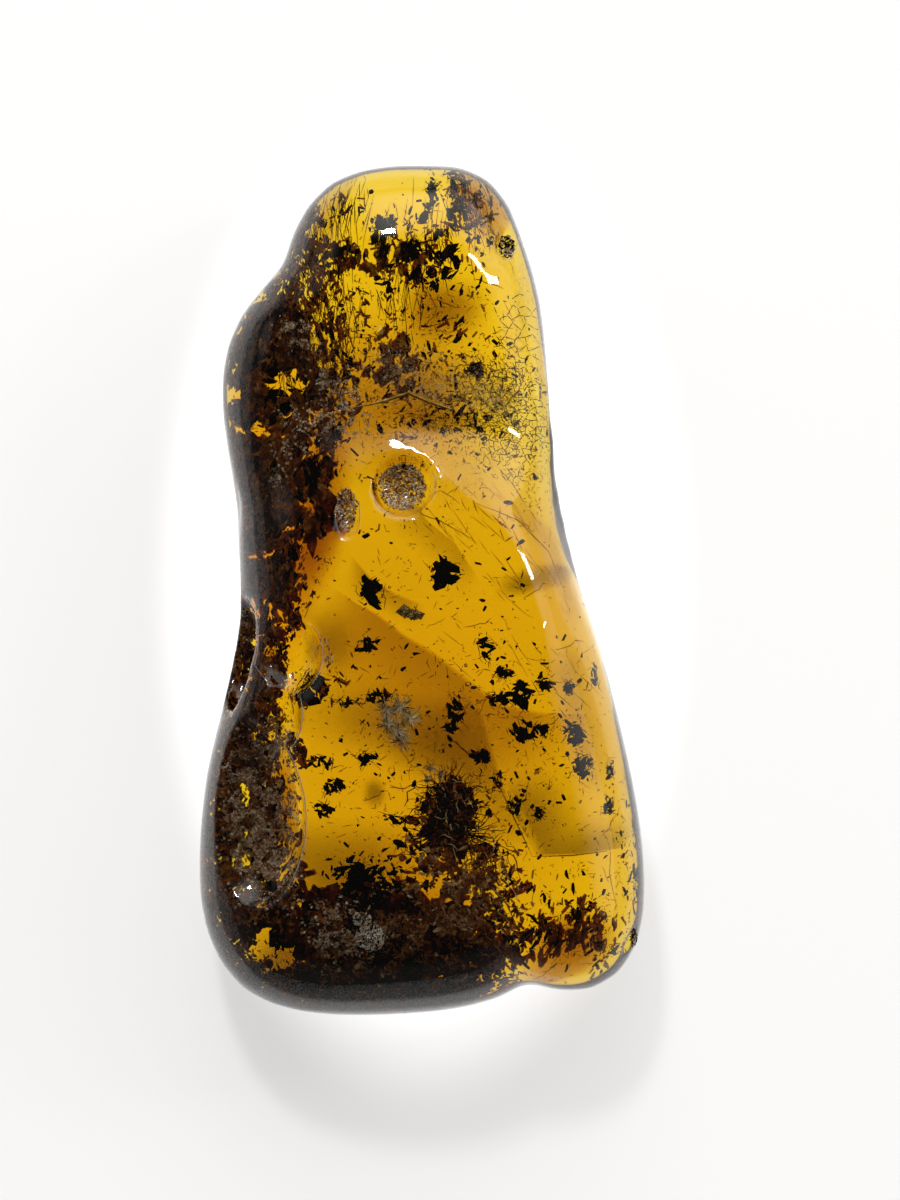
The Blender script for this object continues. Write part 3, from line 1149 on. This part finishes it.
# The same for layers that thin out towards both edges
SOFT_LAYERS = [
    ("layer_smudge", [(488, 606), (523, 602), (563, 594)], [(488, 572), (523, 568), (563, 560)], 0.6, 9.0,
     OLIVE),
    ("layer_left_gold", [(205, 300), (215, 450), (215, 600), (215, 760)], [(345, 300), (350, 450), (340, 600),
     (320, 760)], 0.6, 7.0, ORANGE),
    ("layer_spot_low", [(366, 804), (378, 808), (391, 804)], [(366, 774), (378, 770), (391, 774)], 0.6, 9.0,
     OLIVE),
    ("layer_spot_left", [(280, 750), (292, 752), (304, 750)], [(280, 738), (292, 736), (304, 738)], 0.6, 7.0,
     OLIVE),
    ("layer_lower", [(300, 660), (380, 680), (450, 700), (500, 730)], [(300, 750), (380, 765), (450, 800),
     (500, 840)], 0.35, 9.0, SMOKY),
    ("layer_lower_base", [(290, 800), (350, 805), (430, 800)], [(290, 925), (350, 930), (430, 925)], 0.35,
     10.0, SMOKY),
    ("layer_over_left", [(310, 590), (340, 600), (370, 620)], [(310, 690), (340, 690), (370, 690)], 0.4, 7.0,
     SMOKY),
    ("layer_crust_edge", [(262, 720), (270, 800), (270, 905)], [(318, 720), (324, 800), (320, 905)], 0.5, 8.0,
     BROWN),
    ("layer_neck_smoke", [(360, 350), (440, 340), (500, 350)], [(360, 440), (430, 450), (480, 440)], 0.75,
     4.0, SMOKY),
    ("layer_neck", [(280, 290), (350, 290), (430, 290), (520, 300)], [(275, 520), (350, 515), (420, 515),
     (500, 500)], 0.5, 5.0, BROWN),
    ("layer_neck_band", [(392, 398), (440, 404), (486, 400)], [(396, 444), (440, 452), (496, 450)], 0.7, 6.0,
     SMOKY),
    ("layer_left_edge", [(300, 350), (300, 450), (296, 560), (280, 660)], [(372, 350), (366, 450), (352, 560),
     (316, 650)], 0.6, 5.0, BROWN),
    ("layer_left_wisps", [(300, 480), (310, 540), (290, 600)], [(350, 490), (350, 550), (335, 610)], 0.4, 4.0,
     BROWN),
    ("layer_right_neck", [(506, 215), (520, 300), (524, 400), (528, 470)], [(545, 300), (556, 360),
     (562, 440), (566, 490)], 0.5, 9.0, TAWNY),
    ("layer_lens", [(258, 970), (292, 974), (326, 964)], [(262, 926), (292, 924), (326, 926)], 0.6, 10.0,
     OLIVE),
    ("layer_block", [(515, 900), (560, 898), (606, 900)], [(515, 965), (560, 965), (606, 960)], 0.55, 8.0,
     BROWN),
    ("layer_top_right", [(440, 170), (442, 200), (440, 245)], [(496, 185), (500, 215), (494, 270)], 0.5, 9.0,
     BROWN),
    ("layer_upper_middle", [(400, 262), (440, 268), (490, 280)], [(392, 352), (432, 352), (486, 345)], 0.6,
     8.0, TAWNY),
    ("layer_top_left", [(345, 175), (318, 220), (300, 270)], [(382, 172), (355, 225), (352, 280)], 0.5, 4.0,
     TAWNY),
]
for settings in LAYERS:
    flow_layer(*settings)
for settings in SOFT_LAYERS:
    flow_layer(*settings, both_soft=True)
print("flow layers:", len(LAYERS) + len(SOFT_LAYERS))

# %% [markdown]
# Gas in amber has a far lower refractive index than the resin: 1 against 1.54, or 0.65 of it. Light
# that meets a gas-filled crack at a slant is mirrored whole, which gives the golden glints.

# %% Gas bubbles and glinting cracks
def gas():
    """Air inside amber: its index over the amber's."""
    material, output = new_material("gas_in_amber")
    surface = add_node(material.node_tree, "ShaderNodeBsdfPrincipled", values={
        "Base Color": (1, 1, 1, 1), "Roughness": 0.0, "IOR": 0.65, "Transmission Weight": 1.0})
    material.node_tree.links.new(surface.outputs[0], output.inputs["Surface"])
    return material


GAS = gas()
GLINTS = [(250, 362, 6, 6, 2), (285, 384, 8, 8, 3), (275, 430, 9, 6, 3), (251, 527, 8, 4, 2),
    (265, 555, 7, 5, 2), (372, 345, 9, 8, 2), (372, 398, 7, 6, 1), (597, 908, 8, 8, 1),
    (531, 933, 8, 5, 1), (372, 977, 8, 4, 1), (480, 994, 6, 3, 1), (470, 820, 8, 10, 1),
    (470, 398, 8, 5, 3), (497, 412, 8, 6, 3), (310, 470, 20, 40, 2), (250, 800, 16, 50, 2),
    (291, 683, 5, 18, 2)]
strew("glinting_cracks", FLAKES, lay_under(clustered(180, GLINTS), 0.8, 2.6), (0.3, 1.1), 0.6, 0.06,
      (GAS,), "amber", lean=1.2)


def make_bubble(bm, draw):
    """A round gas bubble, one unit across."""
    bmesh.ops.create_icosphere(bm, subdivisions=3, radius=0.5)


BUBBLES = template(make_bubble, 1)
BUBBLE_SPOTS = [(533, 769, 1, 1, 3), (462, 665, 2, 12, 3), (430, 600, 60, 60, 2), (520, 850, 40, 40, 1)]
bubbles = strew("gas_bubbles", BUBBLES, lay_under(clustered(22, BUBBLE_SPOTS), 1.2, 3.0), (0.1, 0.4), 1.0,
                1.0, (GAS,), "amber")
shade_smooth(bubbles)

# %% [markdown]
# Amber is seen by the light that comes through it. The nugget lies on pale acrylic lit from below, which
# looks like the white ground of the photograph. The glow is full only near the nugget: were it wider,
# the polished rim would mirror it and go pale.

# %% Floor that glows
GROUND_SQUEEZE = (1.9, 1, 1)  # the glow follows the nugget's narrow outline
# [axis, where the glow is full, where it is dark], in metres from the middle
GLOW_ENDS = (("X", 0.037, 0.046), ("Y", 0.0475, 0.058))


def fading(tree, value, start, stop, first, last):
    """A value that goes smoothly from first to last while another goes from start to stop."""
    ends = {"From Min": start, "From Max": stop, "To Min": first, "To Max": last}
    return add_node(tree, "ShaderNodeMapRange", values=ends, links={"Value": value},
                    interpolation_type="SMOOTHSTEP").outputs[0]


def product(tree, first, second):
    """One value times another."""
    return add_node(tree, "ShaderNodeMath", operation="MULTIPLY", links={0: first, 1: second}).outputs[0]


def floor_material():
    """Pale matt acrylic lit from below: brightest under the nugget, and dark just outside the view."""
    material, output = new_material("pale_acrylic_top")
    tree = material.node_tree
    place = add_node(tree, "ShaderNodeTexCoord").outputs["Object"]
    squeezed = add_node(tree, "ShaderNodeVectorMath", operation="MULTIPLY", links={0: place})
    squeezed.inputs[1].default_value = GROUND_SQUEEZE
    distance = add_node(tree, "ShaderNodeVectorMath", operation="LENGTH", links={0: squeezed.outputs[0]})
    light = fading(tree, distance.outputs["Value"], 0.028, 0.042, 1.15, 0.6)
    parts = add_node(tree, "ShaderNodeSeparateXYZ", links={0: place})
    for axis, full, dark in GLOW_ENDS:
        out = add_node(tree, "ShaderNodeMath", operation="ABSOLUTE", links={0: parts.outputs[axis]})
        light = product(tree, light, fading(tree, out.outputs[0], full, dark, 1.0, 0.12))
    surface = add_node(tree, "ShaderNodeBsdfPrincipled", links={"Emission Strength": light}, values={
        "Base Color": (0.85, 0.85, 0.85, 1), "Roughness": 0.6, "Emission Color": (1, 1, 1, 1)})
    tree.links.new(surface.outputs[0], output.inputs["Surface"])
    return material


bm = bmesh.new()
bmesh.ops.create_grid(bm, x_segments=1, y_segments=1, size=1.5)
floor = piece_from("floor", bm)
floor.data.materials.append(floor_material())
print("floor:", round(floor.dimensions.x, 1), "m across")

# %% [markdown]
# What the polished skin mirrors lies over the colour as a veil. Straight above it is nearly dark, so
# the flat of the face stays clear and deep. Broad glows low on the right give the milky band down that
# side, and a tall soft box beyond the narrow end gives the highlights there. A small weak glow stands at
# the upper left, and a faint ring of low light all round lifts the debris.

# %% Soft studio light
world = bpy.data.worlds.new("studio")
bpy.context.scene.world = world
world.use_nodes = True
sky_tree = world.node_tree
sky_tree.nodes.clear()
world_output = add_node(sky_tree, "ShaderNodeOutputWorld")
direction = add_node(sky_tree, "ShaderNodeTexCoord").outputs["Generated"]


def glow(towards, start, full, strength):
    """Light from round one direction: it starts at one cosine and is full at another."""
    facing = add_node(sky_tree, "ShaderNodeVectorMath", operation="DOT_PRODUCT", links={0: direction})
    facing.inputs[1].default_value = Vector(towards).normalized()
    return fading(sky_tree, facing.outputs["Value"], start, full, 0.0, strength)


def plus(first, second):
    """One light and another."""
    return add_node(sky_tree, "ShaderNodeMath", links={0: first, 1: second}).outputs[0]


def aimed(azimuth, elevation):
    """The direction of an azimuth and an elevation in degrees."""
    turn, lift = math.radians(azimuth), math.radians(elevation)
    return math.cos(turn) * math.cos(lift), math.sin(turn) * math.cos(lift), math.sin(lift)


def softbox(azimuth, elevation, tall, wide, strength):
    """A tall soft box: its direction in degrees, and the cosine ranges that it is tall and wide."""
    turn = math.radians(azimuth)
    box = glow(aimed(azimuth, elevation), *tall, strength)
    for side in (-1, 1):
        box = product(sky_tree, box, glow((-side * math.sin(turn), side * math.cos(turn), 0), *wide, 1.0))
    return box


# [azimuth, elevation, cosine where it starts, cosine where it is full, strength]
GLOWS = [(0, -90, -0.45, -0.2, 0.06), (15, -5, 0.7, 0.9, 1.0), (58, 15, 0.79, 0.9, 1.2),
    (153, 20, 0.94, 0.99, 0.3)]
DARKEST = 0.05
total = softbox(98, 28, (0.87, 0.99), (-0.4, -0.04), 2.0)
for azimuth, elevation, *settings in GLOWS:
    total = plus(total, glow(aimed(azimuth, elevation), *settings))
lit = add_node(sky_tree, "ShaderNodeMath", links={0: total}, values={1: DARKEST})
sky = add_node(sky_tree, "ShaderNodeBackground", values={"Color": (1.0, 0.95, 0.88, 1)},
               links={"Strength": lit.outputs[0]})
sky_tree.links.new(sky.outputs[0], world_output.inputs["Surface"])
print("glows:", len(GLOWS))

# %% [markdown]
# Two small lamps add the crisp highlights. They light the skin alone, because little of a lamp's light
# gets into the amber.

# %% Lamps for the highlights
NUGGET_HEART = (0, 0, 0.01)


def area_light(name, size, place, power):
    """A rectangular lamp that faces the nugget."""
    light = bpy.data.objects.new(name, bpy.data.lights.new(name, "AREA"))
    light.data.shape = "RECTANGLE"
    light.data.size, light.data.size_y = size
    light.data.energy = power
    light.location = place
    light.rotation_euler = (Vector(NUGGET_HEART) - Vector(place)).to_track_quat("-Z", "Y").to_euler()
    bpy.context.scene.collection.objects.link(light)


area_light("strip_right", (0.02, 0.12), (0.43, 0.15, 0.24), 0.15)
area_light("lamp_high", (0.05, 0.05), (-0.08, 0.34, 0.37), 0.55)

# %% [markdown]
# The camera looks straight down, as the photograph looks straight at the face. Its sensor is as high as
# the photograph's 1200 rows at the height where the CAD halves part, which is close to the rim, so the
# pixels named above fall on their own places.

# %% Camera
PHOTO_SIZE = (900, 1200)
EYE_HEIGHT = 0.36
LENS = 90.0
camera = bpy.data.objects.new("camera", bpy.data.cameras.new("camera"))
bpy.context.scene.collection.objects.link(camera)
bpy.context.scene.camera = camera
middle_x, middle_y = spot(PHOTO_SIZE[0] / 2, PHOTO_SIZE[1] / 2)
camera.location = (middle_x * MM, middle_y * MM, EYE_HEIGHT)
camera.data.lens = LENS
camera.data.sensor_fit = "VERTICAL"
parting_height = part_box("amber_back")[1].z
camera.data.sensor_height = PHOTO_SIZE[1] * PIXEL * MM / (EYE_HEIGHT - parting_height) * LENS
camera.data.clip_start = 0.01
print("camera:", tuple(round(value, 4) for value in camera.location))

# %% [markdown]
# Light crosses many faces on its way through the nugget and all that is sealed in it, so it is followed
# for more bounces than usual. The colours are shown as they are, without a film look.

# %% Light paths and colours
BOUNCES = 24
scene = bpy.context.scene
scene.view_settings.view_transform = "Standard"
for setting in ("max_bounces", "transmission_bounces", "transparent_max_bounces"):
    setattr(scene.cycles, setting, BOUNCES)
print("light paths:", BOUNCES, "bounces")
